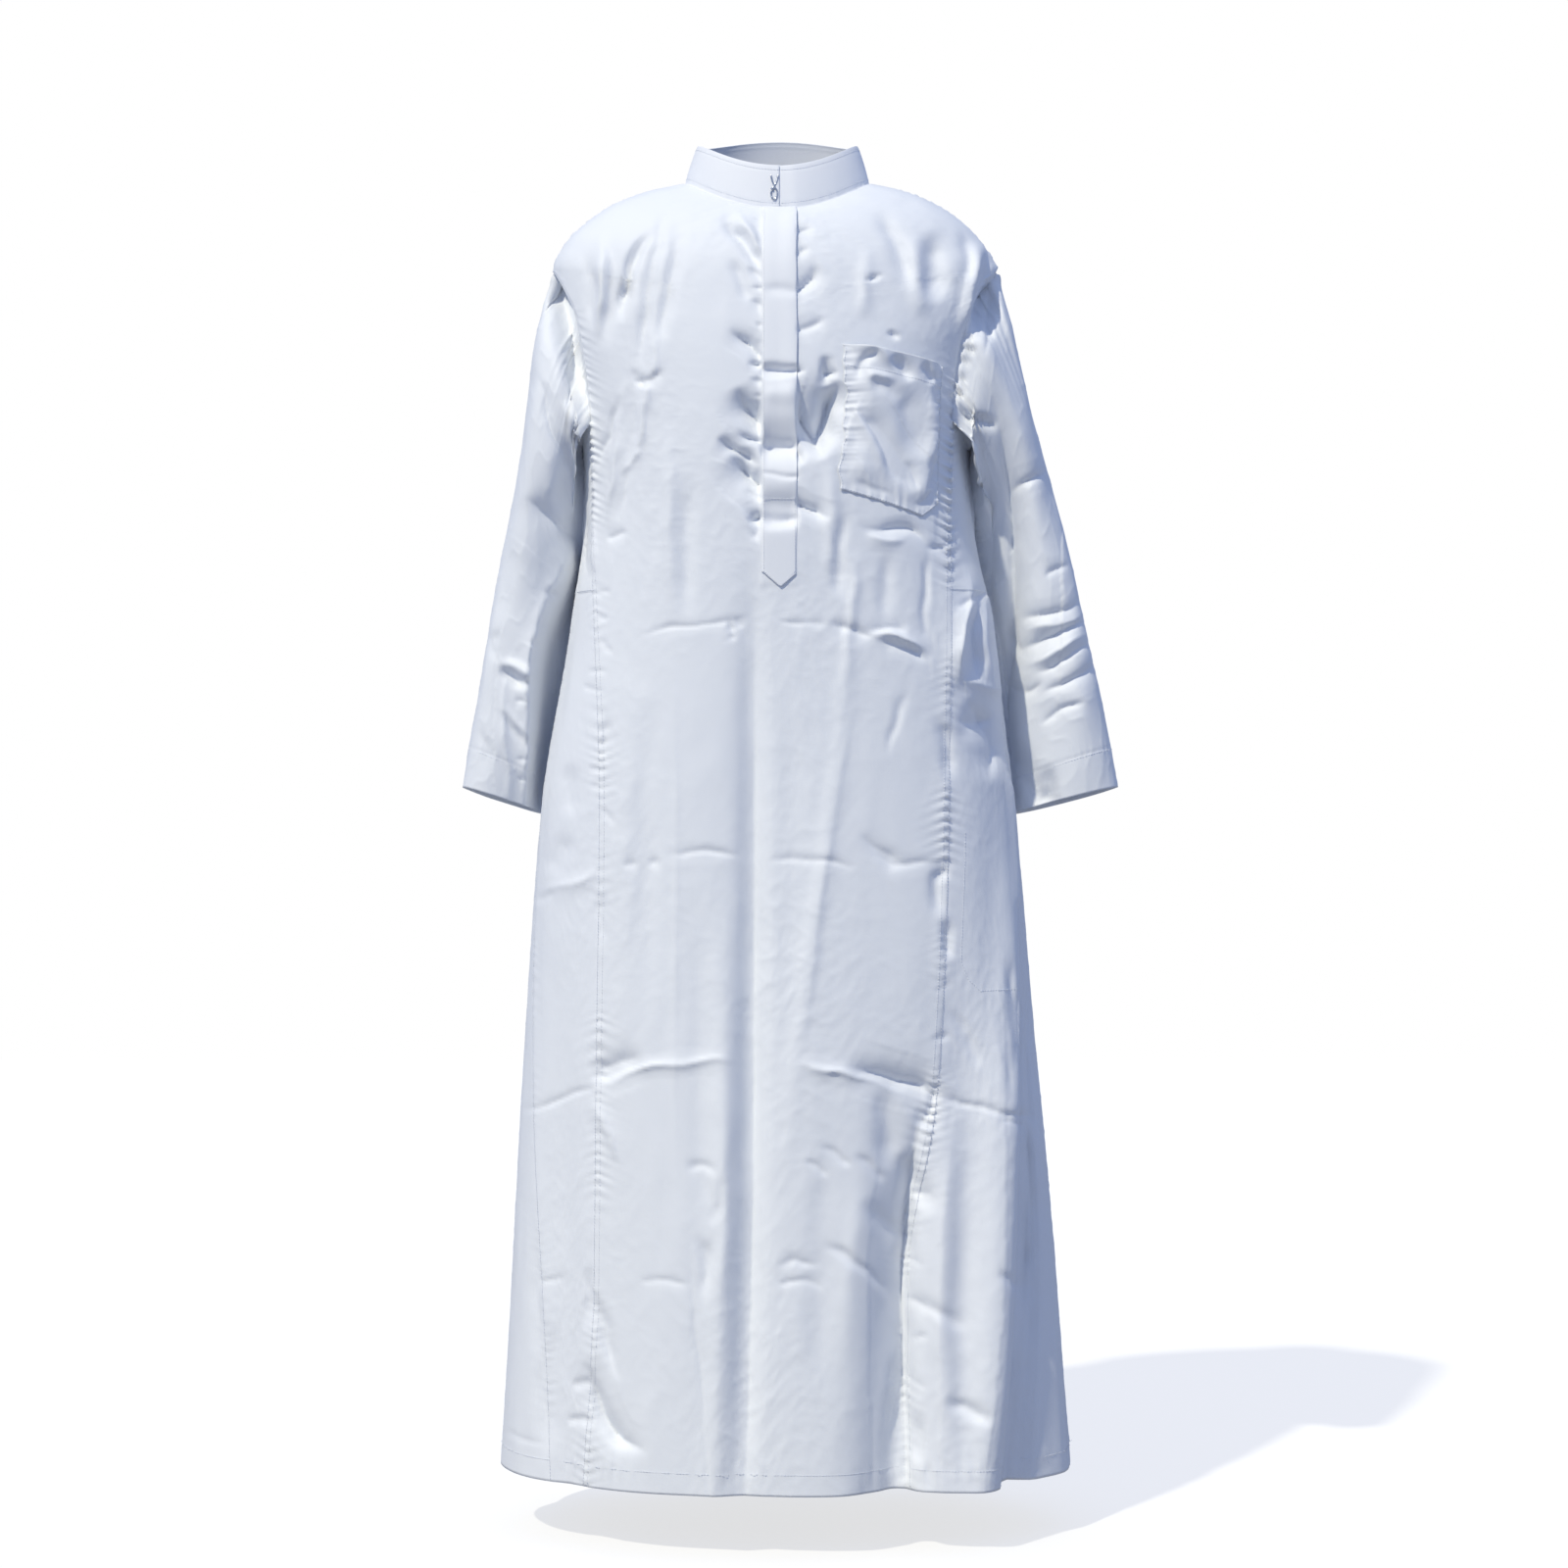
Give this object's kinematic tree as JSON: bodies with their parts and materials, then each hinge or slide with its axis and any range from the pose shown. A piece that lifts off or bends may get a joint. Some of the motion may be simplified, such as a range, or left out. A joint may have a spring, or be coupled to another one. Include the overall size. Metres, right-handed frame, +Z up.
{
  "type": "thobe robe",
  "caption": "Ankle-length long-sleeved robe with a standing band collar, half-length front placket, chest pocket and side gores, hollow as when worn.",
  "frame": {"origin": "middle of the neck opening, level with the two points where the collar meets the shoulder seams", "axes": "+Z up towards the collar, -Y out of the front, +X towards the wearer's left"},
  "size_m": [0.736, 0.3898, 1.4924],
  "materials": {
    "white_cloth": "smooth white poplin with a slight sheen",
    "steel": "plain bright wire"
  },
  "bodies": {
    "root": {"front_panel": "white_cloth", "back_panel": "white_cloth", "back_panel_skirt": "white_cloth", "front_panel_skirt": "white_cloth", "gore_front_right": "white_cloth", "gore_front_left": "white_cloth", "gore_back_right": "white_cloth", "gore_back_left": "white_cloth", "gusset_right": "white_cloth", "gusset_left": "white_cloth", "sleeve_right": "white_cloth", "sleeve_left": "white_cloth", "collar_band": "white_cloth", "placket": "white_cloth", "chest_pocket": "white_cloth", "side_pocket_bag": "white_cloth", "collar_hook": "steel", "collar_eye": "steel"}
  },
  "joints": []
}
